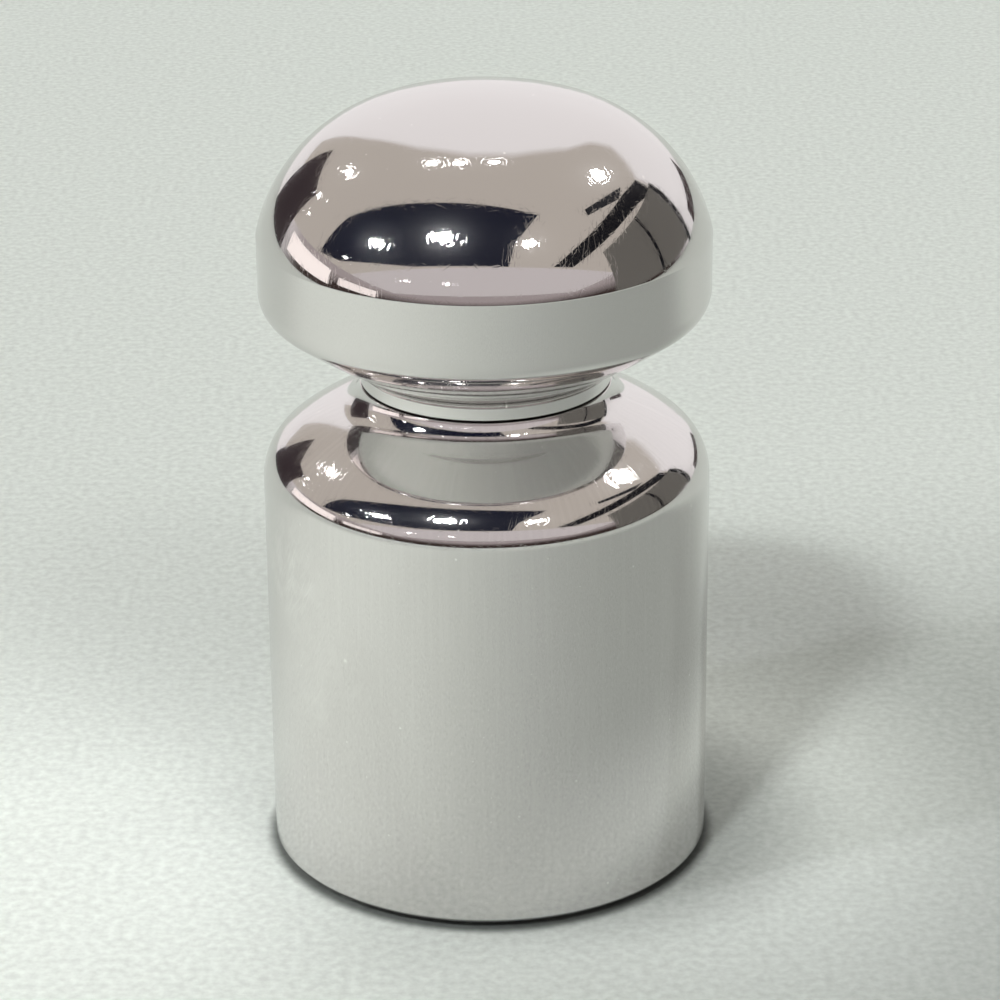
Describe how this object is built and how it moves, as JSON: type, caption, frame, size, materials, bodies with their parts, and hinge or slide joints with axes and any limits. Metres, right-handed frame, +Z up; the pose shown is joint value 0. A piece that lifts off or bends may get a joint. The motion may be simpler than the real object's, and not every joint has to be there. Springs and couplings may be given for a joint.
{
  "type": "roulette win marker",
  "caption": "Heavy chrome-plated table marker: a plain cylinder with a rounded shoulder, a finger groove and a domed mushroom knob, on a felt foot, stood on a winning number.",
  "frame": {"origin": "middle of the felt pad's underside, where the marker stands on the table", "axes": "+Z up along the turned axis, from the foot to the top of the dome; +X and +Y are free, because the outside is round, and -Y is the side that the camera of the picture faces"},
  "size_m": [0.032, 0.032, 0.0569],
  "materials": {
    "base_body": "polished chrome plate over brass",
    "knob": "polished chrome plate over brass",
    "clamp_screw": "zinc plated",
    "spring_washer": "zinc plated",
    "felt_pad": "pressed wool felt"
  },
  "bodies": {
    "root": {"base_body": "base_body", "knob": "knob", "clamp_screw": "clamp_screw", "spring_washer": "spring_washer", "felt_pad": "felt_pad"}
  },
  "joints": []
}
